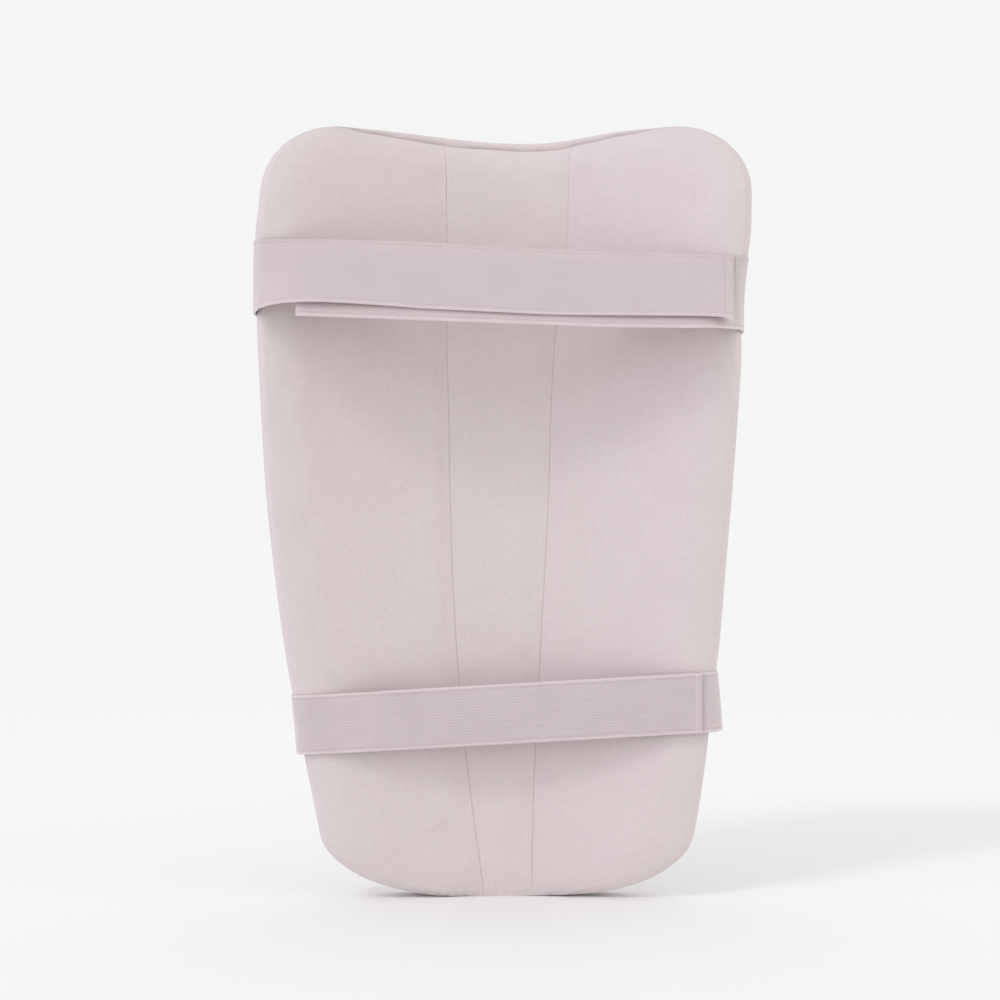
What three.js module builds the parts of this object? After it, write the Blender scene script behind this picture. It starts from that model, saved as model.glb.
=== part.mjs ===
// Cricket thigh guard: a padded trough that covers the front of the thigh, held by two elastic straps.
// Millimetres, +Z up, -Y towards the leg. The guard stands on the flat of its lower edge.
import * as THREE from "three";

// Outline of the padding, seen from the leg's side
const GUARD_HEIGHT = 387.2;
const GUARD_WIDTH = 242;
const TOP_CORNER = 36.5;
const BOTTOM_CORNER_WIDTH = 56;
const BOTTOM_CORNER_HEIGHT = 32;
const TOP_DIP = 4.2;
const TOP_DIP_AT = 18;
const TOP_DIP_REACH_LEFT = 88;
const TOP_DIP_REACH_RIGHT = 50;

// Trough
const TROUGH_DEPTH = 50;
const TROUGH_ROUNDNESS = 0.9;
const LEAN_DEG = 3.4;

// Padding
const SHELL_THICKNESS = 12;
const SHELL_EDGE = 2;
const SHELL_FOOT = 8.5;
const SHELL_ROUNDING = 13;
const PANEL_THICKNESS = 8;
const PANEL_EDGE = 1.5;
const PANEL_FOOT = 5.5;
const PANEL_ROUNDING = 10;
const PANEL_INSET = 2;
const PANEL_TOP_DROP = 3.2;
const PANEL_DROP_AT = 8;
const PANEL_DROP_REACH = 85;
const CENTRE_PANEL_WIDTH = 67;
const SEAM_DEPTH = 2;
const SEAM_ROUNDING = 4;
const FOOT_RISE = 26;
const DIP_RISE = 90;

// Clear distance between pieces that touch
const GAP = 0.3;

// Straps
const STRAP_THICKNESS = 1.2;
const HEM_LENGTH = 6;
// stitchedIn, rearEndIn and hemIn are distances in from the padding's edges, in plan. A strap hugs the padding's
// taper by the share follow, and stands off it below its upper edge where that share is small or negative.
const UPPER_STRAP = {
  width: 36.8,
  topAtLeft: 326.5,
  topAtRight: 317.8,
  followLeft: 0.3,
  followRight: 0.7,
  frontTiltDeg: 27,
  endTiltDeg: 17,
  rearTiltDeg: 21,
  stitchedIn: 50,
  rearEndIn: 22,
  hemIn: 8.3,
};
const LOWER_STRAP = {
  width: 29.6,
  topAtLeft: 102,
  topAtRight: 114,
  followLeft: 0.5,
  followRight: -0.7,
  frontTiltDeg: 0,
  endTiltDeg: 0,
  rearTiltDeg: 0,
  stitchedIn: 50,
  rearEndIn: 43.4,
  hemIn: 7.6,
};
const END_TILT_REACH = 14;
const STITCH_REACH = 40;
const TILT_REACH = 24;
const REAR_TILT_REACH = 60;
const LONGEST_STEP = 8;
const LARGEST_TURN_DEG = 8;
const TURN_SPAN = 2;
const WALK_STEP = 0.5;
const BAND_ROWS = [1, 0.67, 0.33, 0];

// Cross-sections from the bottom up. up is a share of the height. half, axis and seamAxis are shares of half the
// width: of the outline's half width, of its middle and of the middle between the seams. deep is a share of the
// trough's depth, and seam is a share of half the centre panel's width.
const SECTIONS = [
  { up: 0.0, half: 0.708, axis: 0.033, seamAxis: 0.033, deep: 0.3, seam: 0.33 },
  { up: 0.13, half: 0.788, axis: 0.027, seamAxis: 0.01, deep: 0.36, seam: 0.51 },
  { up: 0.29, half: 0.868, axis: 0.01, seamAxis: -0.006, deep: 0.47, seam: 0.64 },
  { up: 0.49, half: 0.928, axis: -0.002, seamAxis: -0.002, deep: 0.7, seam: 0.765 },
  { up: 0.72, half: 0.967, axis: 0.001, seamAxis: 0.005, deep: 0.94, seam: 0.865 },
  { up: 0.83, half: 0.984, axis: 0.01, seamAxis: 0.026, deep: 1.0, seam: 0.96 },
  { up: 1.0, half: 0.982, axis: 0.03, seamAxis: 0.034, deep: 0.98, seam: 1.0 },
];

// Where the rows and columns of a padded piece lie near an edge or a seam, as shares of its reach
const EDGE_STEPS = [0, 0.02, 0.08, 0.2, 0.38, 0.62, 1];
const SEAM_STEPS = [0, 0.35, 1];
const SHELL_SEAM_STEPS = [0, 1];
const SHELL_CENTRE_STEPS = [1];
const MIDDLE_ROWS = 12;
const SIDE_COLUMNS = 4;
const CENTRE_COLUMNS = 3;
const TOP_EDGE_POINTS = 14;

const FABRIC = { color: 0xdccfd2, roughness: 0.95, metalness: 0 };
const ELASTIC = { color: 0xd2c5c8, roughness: 0.85, metalness: 0 };

const COLUMNS = ["half", "axis", "seamAxis", "deep", "seam"];
const sectionCurve = new THREE.CubicInterpolant(
  SECTIONS.map((section) => section.up * GUARD_HEIGHT),
  SECTIONS.flatMap((section) => COLUMNS.map((name) => section[name])),
  COLUMNS.length,
);

// The cross-section at a height, in millimetres.
function sectionAt(z) {
  const [half, axis, seamAxis, deep, seam] = sectionCurve.evaluate(z);
  return {
    half: (half * GUARD_WIDTH) / 2,
    axis: (axis * GUARD_WIDTH) / 2,
    seamAxis: (seamAxis * GUARD_WIDTH) / 2,
    deep: deep * TROUGH_DEPTH,
    seam: (seam * CENTRE_PANEL_WIDTH) / 2,
  };
}

// How far a rounded corner cuts into a side, at a distance from the end of that side.
function cornerCut(distance, width, height) {
  const rest = Math.max(0, 1 - distance / height);
  return width * (1 - Math.sqrt(1 - rest * rest));
}

// Half the width of the padding's outline at a height, drawn in by an inset.
function outlineHalf(z, inset) {
  const topCut = cornerCut(GUARD_HEIGHT - inset - z, TOP_CORNER - inset, TOP_CORNER - inset);
  const bottomCut = cornerCut(z, BOTTOM_CORNER_WIDTH - inset, BOTTOM_CORNER_HEIGHT);
  return sectionAt(z).half - inset - topCut - bottomCut;
}

// 1 at the middle of a bell, falling smoothly to 0 at its reach.
function bell(distance, reach) {
  const share = Math.min(1, Math.abs(distance) / reach);
  return (1 + Math.cos(Math.PI * share)) / 2;
}

// How far the top edge dips at x.
function topDip(x) {
  const away = x - TOP_DIP_AT;
  return TOP_DIP * bell(away, away < 0 ? TOP_DIP_REACH_LEFT : TOP_DIP_REACH_RIGHT);
}

// How far the leg side's panels end below the shell's top edge, past their inset.
function panelDrop(x) {
  return PANEL_TOP_DROP * bell(x - PANEL_DROP_AT, PANEL_DROP_REACH);
}

// The y of the surface where the shell and the panels meet.
function troughY(x, z) {
  const { half, axis, deep } = sectionAt(z);
  const across = (x - axis) / half;
  const round = TROUGH_ROUNDNESS;
  const rise = Math.hypot(across, round) - round;
  const fullRise = Math.hypot(1, round) - round;
  return Math.tan(THREE.MathUtils.degToRad(LEAN_DEG)) * z - (deep * rise) / fullRise;
}

// The point that lies off the trough's surface by a distance, level and square to it, +Y outwards.
function offTrough(x, z, distance) {
  const probe = 0.5;
  const slope = (troughY(x + probe, z) - troughY(x - probe, z)) / (2 * probe);
  const outward = new THREE.Vector3(-slope, 1, 0).normalize();
  return outward.multiplyScalar(distance).add(new THREE.Vector3(x, troughY(x, z), z));
}

// The height of a rounded edge's profile at a distance from the edge, from 0 to 1.
function roundedRise(distance, reach) {
  const rest = Math.max(0, 1 - distance / reach);
  return Math.sqrt(1 - rest * rest);
}

// A rise from 0 to 1 over a reach, steep at first.
function easedRise(distance, reach) {
  return Math.sin((Math.PI / 2) * THREE.MathUtils.clamp(distance / reach, 0, 1));
}

// Values from start to end: steps within a reach of each end, and evenly spaced ones between.
function spread({ start, startSteps, startReach, end, endSteps, endReach, middle }) {
  const from = start + startReach;
  const to = end - endReach;
  const between = [];
  for (let i = 1; i < middle; i++) {
    between.push(THREE.MathUtils.lerp(from, to, i / middle));
  }
  const atStart = startSteps.map((share) => start + share * startReach);
  const atEnd = endSteps.map((share) => end - share * endReach).reverse();
  return [...atStart, ...between, ...atEnd];
}

// The heights of a padded piece's rows, up to a top.
function rowHeights(top) {
  return spread({
    start: 0,
    startSteps: EDGE_STEPS,
    startReach: BOTTOM_CORNER_HEIGHT,
    end: top,
    endSteps: EDGE_STEPS,
    endReach: TOP_CORNER,
    middle: MIDDLE_ROWS,
  });
}

// The shares of a side panel's width at its columns, from the seam to the outer edge.
function sideShares(seamSteps) {
  const width = (GUARD_WIDTH - CENTRE_PANEL_WIDTH) / 2;
  return spread({
    start: 0,
    startSteps: seamSteps,
    startReach: SEAM_ROUNDING / width,
    end: 1,
    endSteps: EDGE_STEPS,
    endReach: PANEL_ROUNDING / width,
    middle: SIDE_COLUMNS,
  });
}

// The shares of the centre panel's width at its columns, from left to right.
function centreShares(seamSteps) {
  const reach = SEAM_ROUNDING / CENTRE_PANEL_WIDTH;
  return spread({
    start: 0,
    startSteps: seamSteps,
    startReach: reach,
    end: 1,
    endSteps: seamSteps,
    endReach: reach,
    middle: CENTRE_COLUMNS,
  });
}

// The x of each column of a side panel at a height, from left to right.
function sideColumns(sign, z, inset, seamSteps) {
  const { axis, seamAxis, seam } = sectionAt(z);
  const seamEdge = seamAxis + sign * (seam + GAP / 2);
  const outerEdge = axis + sign * outlineHalf(z, inset);
  const columns = sideShares(seamSteps).map((share) => THREE.MathUtils.lerp(seamEdge, outerEdge, share));
  return sign < 0 ? columns.reverse() : columns;
}

// The x of each column of the centre panel at a height, from left to right.
function centreColumns(z, seamSteps) {
  const { seamAxis, seam } = sectionAt(z);
  const half = seam - GAP / 2;
  return centreShares(seamSteps).map((share) => seamAxis + half * (2 * share - 1));
}

// The x of each of the shell's columns at a height. They lie on the panels' columns, so that the faces match.
function shellColumns(z) {
  return [
    ...sideColumns(-1, z, 0, SHELL_SEAM_STEPS),
    ...centreColumns(z, SHELL_CENTRE_STEPS),
    ...sideColumns(1, z, 0, SHELL_SEAM_STEPS),
  ];
}

// The shortest distance from a point to a closed outline, both in the XZ plane.
function distanceToOutline(point, outline) {
  const nearest = new THREE.Vector3();
  const side = new THREE.Line3();
  return outline.reduce((best, corner, i) => {
    side.set(corner, outline[(i + 1) % outline.length]);
    side.closestPointToPoint(point, true, nearest);
    return Math.min(best, nearest.distanceTo(point));
  }, Infinity);
}

// The outline of the padding in the XZ plane, drawn in by an inset and lowered at the top by a function of x.
function paddingOutline(inset, lower) {
  const heights = rowHeights(GUARD_HEIGHT - inset);
  const side = (sign) =>
    heights.map((z) => {
      const x = sectionAt(z).axis + sign * outlineHalf(z, inset);
      return new THREE.Vector3(x, 0, lowered(x, z, lower));
    });
  const left = side(-1);
  const right = side(1);
  const topStart = left.at(-1).x;
  const topEnd = right.at(-1).x;
  const top = [];
  for (let i = 1; i < TOP_EDGE_POINTS; i++) {
    const x = THREE.MathUtils.lerp(topStart, topEnd, i / TOP_EDGE_POINTS);
    top.push(new THREE.Vector3(x, 0, lowered(x, heights.at(-1), lower)));
  }
  return [...left, ...top, ...right.reverse()];
}

// A row's height at x, once the top edge's shape is taken off it.
function lowered(x, z, lower) {
  return z - lower(x) * THREE.MathUtils.smoothstep(z, GUARD_HEIGHT - DIP_RISE, GUARD_HEIGHT);
}

// One closed body between two grids of points of the same size. Its near face looks along the cross product of
// the columns' direction and the rows' direction, and both faces split their quads the same way.
function slabGeometry(near, far) {
  const rows = near.length;
  const columns = near[0].length;
  const count = rows * columns;
  const positions = [...near.flat(), ...far.flat()].flatMap((point) => point.toArray());
  const index = [];
  const quad = (a, b, c, d) => index.push(a, b, c, a, c, d);
  const at = (row, column) => row * columns + column;
  for (let row = 0; row < rows - 1; row++) {
    for (let column = 0; column < columns - 1; column++) {
      const [a, b] = [at(row, column), at(row, column + 1)];
      const [c, d] = [at(row + 1, column + 1), at(row + 1, column)];
      quad(a, b, c, d);
      quad(a + count, d + count, c + count, b + count);
    }
  }
  const rim = [];
  for (let column = 0; column < columns - 1; column++) rim.push(at(0, column));
  for (let row = 0; row < rows - 1; row++) rim.push(at(row, columns - 1));
  for (let column = columns - 1; column > 0; column--) rim.push(at(rows - 1, column));
  for (let row = rows - 1; row > 0; row--) rim.push(at(row, 0));
  rim.forEach((corner, i) => {
    const next = rim[(i + 1) % rim.length];
    quad(corner, corner + count, next + count, next);
  });
  const geometry = new THREE.BufferGeometry();
  geometry.setAttribute("position", new THREE.Float32BufferAttribute(positions, 3));
  geometry.setIndex(index);
  geometry.computeVertexNormals();
  return geometry;
}

// A thickness between the foot's at the floor and the edge's higher up.
function rimThickness(z, foot, edge) {
  return THREE.MathUtils.lerp(foot, edge, THREE.MathUtils.smoothstep(z, 0, FOOT_RISE));
}

const shellOutline = paddingOutline(0, topDip);
const panelLowering = (x) => topDip(x) + panelDrop(x);
const panelOutline = paddingOutline(PANEL_INSET, panelLowering);

// How far the shell's outer face stands off the trough's surface.
function shellOffset(x, z) {
  const rim = rimThickness(z, SHELL_FOOT, SHELL_EDGE);
  const inside = distanceToOutline(new THREE.Vector3(x, 0, z), shellOutline);
  return GAP / 2 + rim + (SHELL_THICKNESS - rim) * roundedRise(inside, SHELL_ROUNDING);
}

// How far a panel's face stands off the trough's surface, towards the leg. A seam draws its edges in.
function panelOffset(x, z) {
  const rim = rimThickness(z, PANEL_FOOT, PANEL_EDGE);
  const inside = distanceToOutline(new THREE.Vector3(x, 0, z), panelOutline);
  const { seamAxis, seam } = sectionAt(z);
  const fromSeam = Math.abs(Math.abs(x - seamAxis) - seam);
  const full = PANEL_THICKNESS - SEAM_DEPTH * (1 - roundedRise(fromSeam, SEAM_ROUNDING));
  return GAP / 2 + rim + Math.max(0, full - rim) * roundedRise(inside, PANEL_ROUNDING);
}

// A padded piece. columnsAt gives the x of its columns at a height, and its faces stand off the trough's surface.
function paddedGeometry(top, lower, columnsAt, nearOffset, farOffset) {
  const grid = (offset) =>
    rowHeights(top).map((rowZ) =>
      columnsAt(rowZ).map((x) => {
        const z = lowered(x, rowZ, lower);
        return offTrough(x, z, offset(x, z));
      }),
    );
  return slabGeometry(grid(nearOffset), grid(farOffset));
}

function shellGeometry() {
  return paddedGeometry(GUARD_HEIGHT, topDip, shellColumns, () => GAP / 2, shellOffset);
}

// A panel of the leg's side, with its columns at each height.
function panelGeometry(columnsAt) {
  const near = (x, z) => -panelOffset(x, z);
  const far = () => -GAP / 2;
  return paddedGeometry(GUARD_HEIGHT - PANEL_INSET, panelLowering, columnsAt, near, far);
}

// The corners of the smallest convex outline round some points in plan, anticlockwise from above.
function convexOutline(points) {
  const sorted = [...points].sort((a, b) => a.x - b.x || a.y - b.y);
  const chain = (list) => {
    const kept = [];
    for (const point of list) {
      while (kept.length > 1 && turn(kept.at(-2), kept.at(-1), point) <= 0) kept.pop();
      kept.push(point);
    }
    return kept.slice(0, -1);
  };
  return [...chain(sorted), ...chain(sorted.reverse())];
}

// Twice the area of the triangle of three plan points, positive when they turn left.
function turn(a, b, c) {
  return (b.x - a.x) * (c.y - a.y) - (b.y - a.y) * (c.x - a.x);
}

// The plan points of both edges of the padding, on one level of a strap that may slope from side to side.
function edgePoints(strap, down) {
  const side = (sign, top) => {
    const z = top - down * strap.width;
    const shell = sideColumns(sign, z, 0, SHELL_SEAM_STEPS);
    const panel = sideColumns(sign, z, PANEL_INSET, SEAM_STEPS);
    return [
      ...shell.flatMap((x) => [offTrough(x, z, GAP / 2), offTrough(x, z, shellOffset(x, z))]),
      ...panel.map((x) => offTrough(x, z, -panelOffset(x, z))),
    ];
  };
  const points = [...side(-1, strap.topAtLeft), ...side(1, strap.topAtRight)];
  return points.map((point) => new THREE.Vector2(point.x, point.y));
}

// How far points reach in a direction.
function reachOf(points, direction) {
  return Math.max(...points.map((point) => point.dot(direction)));
}

// The stretch of a taut line from one x to another. Each x is met on the outer side or on the leg's side.
function stretchOf(outline, from, to) {
  const next = (k) => outline[(k + 1) % outline.length];
  const meets = (x, onLegSide) =>
    outline.findIndex((point, k) =>
      onLegSide ? point.x < x && next(k).x >= x : point.x >= x && next(k).x < x,
    );
  const pointAt = (k, x) => outline[k].clone().lerp(next(k), (x - outline[k].x) / (next(k).x - outline[k].x));
  const start = meets(from.x, from.onLegSide);
  const end = meets(to.x, to.onLegSide);
  const corners = [pointAt(start, from.x)];
  for (let k = start; k % outline.length !== end; k++) {
    corners.push(next(k % outline.length));
  }
  corners.push(pointAt(end, to.x));
  const path = new THREE.CurvePath();
  corners.slice(1).forEach((corner, k) => path.add(new THREE.LineCurve(corners[k], corner)));
  return path;
}

// Stations along a path in plan: a place, its outward direction and its distances from both ends. They are closer
// together where the path turns, and there is one at each distance of the list marks.
function stationsOf(path, marks) {
  const length = path.getLength();
  const placeAt = (distance) => path.getPoint(THREE.MathUtils.clamp(distance / length, 0, 1));
  const stationAt = (distance) => {
    const before = placeAt(Math.max(0, distance - TURN_SPAN));
    const along = placeAt(Math.min(length, distance + TURN_SPAN)).sub(before).normalize();
    const outward = new THREE.Vector2(along.y, -along.x);
    return { place: placeAt(distance), outward, fromStart: distance, toEnd: length - distance };
  };
  const stations = [stationAt(0)];
  for (let distance = WALK_STEP; distance < length - WALK_STEP; distance += WALK_STEP) {
    const here = stationAt(distance);
    const last = stations.at(-1);
    const turned = Math.acos(Math.min(1, here.outward.dot(last.outward)));
    const marked = marks.some((mark) => mark >= distance && mark < distance + WALK_STEP);
    const far = distance - last.fromStart >= LONGEST_STEP;
    if (far || marked || turned >= THREE.MathUtils.degToRad(LARGEST_TURN_DEG)) stations.push(here);
  }
  stations.push(stationAt(length));
  return stations;
}

// A flat band along stations. At each station, lay gives the height of its top edge, its tilt, how far it stands
// off the path and how thick its fold is, and slack gives how far each of its rows gives way inwards.
function bandGeometry(stations, width, lay, slack) {
  const faces = [1, -1].map((face) =>
    BAND_ROWS.map((down, row) =>
      stations.map((station) => {
        const { top, tilt, off, fold } = lay(station);
        const thickness = face > 0 ? STRAP_THICKNESS / 2 + fold : -STRAP_THICKNESS / 2;
        const leaning = down * width * Math.sin(tilt) + thickness * Math.cos(tilt);
        const height = top - down * width * Math.cos(tilt) + thickness * Math.sin(tilt);
        const outwards = off + leaning - slack(station, row);
        const place = station.outward.clone().multiplyScalar(outwards).add(station.place);
        return new THREE.Vector3(place.x, place.y, height);
      }),
    ),
  );
  return slabGeometry(...faces);
}

// Both halves of a strap. Each is stitched to the shell's outer face, comes round one edge of the guard and
// crosses the open side. The left half lies in front and ends in a hem.
function strapGeometries(strap) {
  const { smoothstep, mapLinear, clamp, degToRad, lerp } = THREE.MathUtils;
  const levels = BAND_ROWS.map((down) => edgePoints(strap, down));
  const all = levels.flat();
  const outline = convexOutline(all);
  const leftmost = Math.min(...all.map((point) => point.x));
  const rightmost = Math.max(...all.map((point) => point.x));
  const along = (x) => mapLinear(clamp(x, leftmost, rightmost), leftmost, rightmost, 0, 1);
  const topAt = (x) => lerp(strap.topAtLeft, strap.topAtRight, along(x));
  const onLegSide = (station) => station.outward.y < 0;
  const seat = GAP + STRAP_THICKNESS / 2;
  const rearEndX = leftmost + strap.rearEndIn;
  const hemEndX = rightmost - strap.hemIn;
  const hemStartX = hemEndX - HEM_LENGTH;
  const slackFrom = (fromStitches) => (station, row) => {
    const free = lerp(strap.followLeft, strap.followRight, along(station.place.x));
    const follow = lerp(1, free, smoothstep(fromStitches(station), 0, STITCH_REACH));
    return follow * (reachOf(all, station.outward) - reachOf(levels[row], station.outward));
  };

  const frontPath = stretchOf(
    outline,
    { x: leftmost + strap.stitchedIn, onLegSide: false },
    { x: hemEndX, onLegSide: true },
  );
  const hemFrom = frontPath.getLength() - HEM_LENGTH;
  const layFront = (station) => {
    const { x } = station.place;
    const crossed = onLegSide(station) ? easedRise(x - leftmost, TILT_REACH) : 0;
    const passed = onLegSide(station) ? smoothstep(x, leftmost, rearEndX) : 0;
    const ended = smoothstep(x, hemStartX - END_TILT_REACH, hemStartX);
    return {
      top: onLegSide(station) ? topAt(x) : strap.topAtLeft,
      tilt: degToRad(crossed * lerp(strap.frontTiltDeg, strap.endTiltDeg, ended)),
      off: seat + passed * (STRAP_THICKNESS + GAP),
      fold: station.toEnd < HEM_LENGTH ? STRAP_THICKNESS : 0,
    };
  };
  const frontStations = stationsOf(frontPath, [hemFrom, hemFrom + WALK_STEP]);
  const front = bandGeometry(frontStations, strap.width, layFront, slackFrom((station) => station.fromStart));

  const rearPath = stretchOf(
    outline,
    { x: rearEndX, onLegSide: true },
    { x: rightmost - strap.stitchedIn, onLegSide: false },
  );
  // The rear half leans back from its lower edge, whose height its tilt leaves as it is.
  const layRear = (station) => {
    const { x } = station.place;
    const crossed = onLegSide(station) ? smoothstep(rightmost - x, 0, REAR_TILT_REACH) : 0;
    const tilt = degToRad(crossed * strap.rearTiltDeg);
    return {
      top: (onLegSide(station) ? topAt(x) : strap.topAtRight) - strap.width * (1 - Math.cos(tilt)),
      tilt,
      off: seat,
      fold: 0,
    };
  };
  const rearStations = stationsOf(rearPath, []);
  const rear = bandGeometry(rearStations, strap.width, layRear, slackFrom((station) => station.toEnd));
  return { front, rear };
}

function piece(name, geometry, finish) {
  const mesh = new THREE.Mesh(geometry, new THREE.MeshStandardMaterial(finish));
  mesh.name = name;
  return mesh;
}

const leftColumns = (z) => sideColumns(-1, z, PANEL_INSET, SEAM_STEPS);
const middleColumns = (z) => centreColumns(z, SEAM_STEPS);
const rightColumns = (z) => sideColumns(1, z, PANEL_INSET, SEAM_STEPS);
const padding = new THREE.Group();
padding.add(
  piece("outer_shell", shellGeometry(), FABRIC),
  piece("inner_panel_left", panelGeometry(leftColumns), FABRIC),
  piece("inner_panel_centre", panelGeometry(middleColumns), FABRIC),
  piece("inner_panel_right", panelGeometry(rightColumns), FABRIC),
);

const straps = new THREE.Group();
const upper = strapGeometries(UPPER_STRAP);
const lower = strapGeometries(LOWER_STRAP);
straps.add(
  piece("upper_strap_left", upper.front, ELASTIC),
  piece("upper_strap_right", upper.rear, ELASTIC),
  piece("lower_strap_left", lower.front, ELASTIC),
  piece("lower_strap_right", lower.rear, ELASTIC),
);

// The origin is at the middle of the guard's box, at its lowest face.
const guard = new THREE.Group();
guard.add(padding, straps);
const box = new THREE.Box3().setFromObject(guard);
const middle = box.getCenter(new THREE.Vector3());
guard.position.set(-middle.x, -middle.y, -box.min.z);

export default guard;
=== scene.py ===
"""Looks of the cricket thigh guard: finer padding, straps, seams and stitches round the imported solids.

The shape is worked out in millimetres, in the part's own numbers, and becomes metres where a mesh is made.
x runs to the right, y away from the leg and z up.
"""

import math

import bpy
import numpy as np
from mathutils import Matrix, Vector, noise


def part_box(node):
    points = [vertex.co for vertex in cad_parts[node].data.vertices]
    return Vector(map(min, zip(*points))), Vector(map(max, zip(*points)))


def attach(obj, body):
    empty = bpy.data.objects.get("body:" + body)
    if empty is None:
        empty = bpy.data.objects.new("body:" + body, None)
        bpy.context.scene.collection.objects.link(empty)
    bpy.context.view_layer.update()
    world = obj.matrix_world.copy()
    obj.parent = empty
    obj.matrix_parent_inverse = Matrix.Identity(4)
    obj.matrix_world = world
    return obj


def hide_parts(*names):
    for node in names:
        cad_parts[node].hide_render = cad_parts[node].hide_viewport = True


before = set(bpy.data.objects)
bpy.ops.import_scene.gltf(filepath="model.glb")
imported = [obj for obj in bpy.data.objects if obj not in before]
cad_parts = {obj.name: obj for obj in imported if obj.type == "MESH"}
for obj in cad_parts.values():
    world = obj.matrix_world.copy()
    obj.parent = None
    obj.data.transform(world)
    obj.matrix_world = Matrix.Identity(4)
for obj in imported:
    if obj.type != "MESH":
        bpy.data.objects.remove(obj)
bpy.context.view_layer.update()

MM = 0.001

# Outline of the padding, in the part's own values
GUARD_HEIGHT = 387.2
GUARD_WIDTH = 242.0
TOP_CORNER = 36.5
BOTTOM_CORNER_WIDTH = 56.0
BOTTOM_CORNER_HEIGHT = 32.0
TOP_DIP = 4.2
TOP_DIP_AT = 18.0
TOP_DIP_REACH_LEFT = 88.0
TOP_DIP_REACH_RIGHT = 50.0
DIP_RISE = 90.0

# Trough, in the part's own values
TROUGH_DEPTH = 50.0
TROUGH_ROUNDNESS = 0.9
LEAN = math.radians(3.4)

# Padding, in the part's own values
GAP = 0.3
SHELL_THICKNESS = 12.0
SHELL_EDGE = 2.0
SHELL_FOOT = 8.5
SHELL_ROUNDING = 13.0
PANEL_THICKNESS = 8.0
PANEL_EDGE = 1.5
PANEL_FOOT = 5.5
PANEL_ROUNDING = 10.0
CENTRE_PANEL_WIDTH = 67.0
FOOT_RISE = 26.0

# What is finer than in the part: where the panels' cloth ends, how it slopes to its edge, and its seams
PANEL_INSET = -0.5
PANEL_SINK = 0.8
PANEL_SLOPE_REACH = 14.0
PANEL_SLOPE_SHARE = 0.5
SEAM_GROOVE = 0.5
SEAM_ROUNDING = 1.3
SEAM_GAP = 0.06

# The lift of the bottom edge towards its corners, and the roll of the cover's rim over the panels
BOTTOM_LIFT = 1.2
BOTTOM_LIFT_AT = -4.0
BOTTOM_LIFT_REACH = 45.0
RIM_ROLL = 1.5
RIM_LEAST = 0.3

# A panel's swell: the most that it rises, and how far in from its edges it fades to nothing
SWELL_CAP = 1.2
SWELL_FADE = 9.0

# The uneven lie of the foam, and the puckers at the lower edge
WAVINESS = 0.45
WAVINESS_SCALE = 48.0
WAVINESS_SEEDS = (7.3, 18.3)
PUCKER = 0.3
PUCKER_STEP = 5.2
PUCKER_HEIGHT = 9.0
PUCKER_REACH = 70.0

# How far the leg side's top seam lies below the top edge, by x
SEAM_DROP = (
    (-82, 0), (-77, 1.0), (-73, 1.9), (-57, 2.9), (-39, 3.9), (-23, 4.3), (-4, 3.6), (10, 4.1), (35, 4.2),
    (42, 3.2), (51, 3.4), (58, 2.6), (71, 1.8), (79, 0.3), (83, 0),
)

# Straps, in the part's own values except for the hem, where it ends at the upper strap (hem_in), how that
# strap's lower edge follows the padding at the right, and the ribs
STRAP_THICKNESS = 1.2
HEM_LENGTH = 3.3
HEM_FOLD = 0.65
STITCH_REACH = 40.0
UPPER_STRAP = {
    "width": 36.8, "top_left": 326.5, "top_right": 317.8, "follow_left": 0.3, "follow_right": 0.85,
    "stitched_in": 50.0, "rear_end_in": 22.0, "hem_in": 7.3, "rib_height": 0.02,
}
LOWER_STRAP = {
    "width": 29.6, "top_left": 102.0, "top_right": 114.0, "follow_left": 0.5, "follow_right": -0.7,
    "stitched_in": 50.0, "rear_end_in": 43.4, "hem_in": 7.6, "rib_height": 0.03,
}

# How the upper strap's halves lean out at the bottom, in degrees, and what else shapes them, by x
FRONT_LEAN = (
    (-122, 5), (-119, 13), (-117, 18), (-113, 22.5), (-108, 26), (-102, 28), (-90, 29.5), (-74, 28.5),
    (-39, 24), (30, 25.5), (70, 29), (98, 31), (107, 31), (111, 27), (115, 21), (122, 14),
)
REAR_LEAN = (
    (-98, 26.5), (-80, 27), (-58, 26.5), (-38, 25.5), (20, 25.5), (60, 27.3), (85, 29.5), (100, 29.5),
    (106, 26), (113, 14), (122, 3),
)
REAR_OUT = (
    (-98, 2.5), (-80, 2.4), (-58, 2.1), (-38, 1.4), (0, 1.4), (40, 1.9), (70, 2.2), (95, 2.4), (104, 1.8),
    (113, 0.3), (118, 0),
)
REAR_DROP = ((-98, 1.5), (0, 1.3), (48, 1.6), (90, 0.8), (105, 0), (115, -0.6), (122, -0.8))
FRONT_LIFT = ((-122, 0), (-100, 0.5), (-75, 1.0), (-50, 1.3), (-20, 0.8), (20, 0), (122, 0))
LEAN_SOFTNESS = 4

# How far the bottom of the hem at a front half's end lies back along the strap, and over which length
HEM_SLANT = 2.2
SLANT_REACH = 40.0

# Where the straps squeeze the padding's sides: side, height, reach up and down, and how far in
SQUEEZES = (
    (-1, 352.0, 26.0, 1.3), (-1, 306.0, 30.0, 0.3), (1, 300.0, 36.0, 2.2), (-1, 88.0, 26.0, 0.6),
    (1, 99.0, 26.0, 0.6),
)
SQUEEZE_FROM = 60.0
SQUEEZE_TO = 118.0

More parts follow.
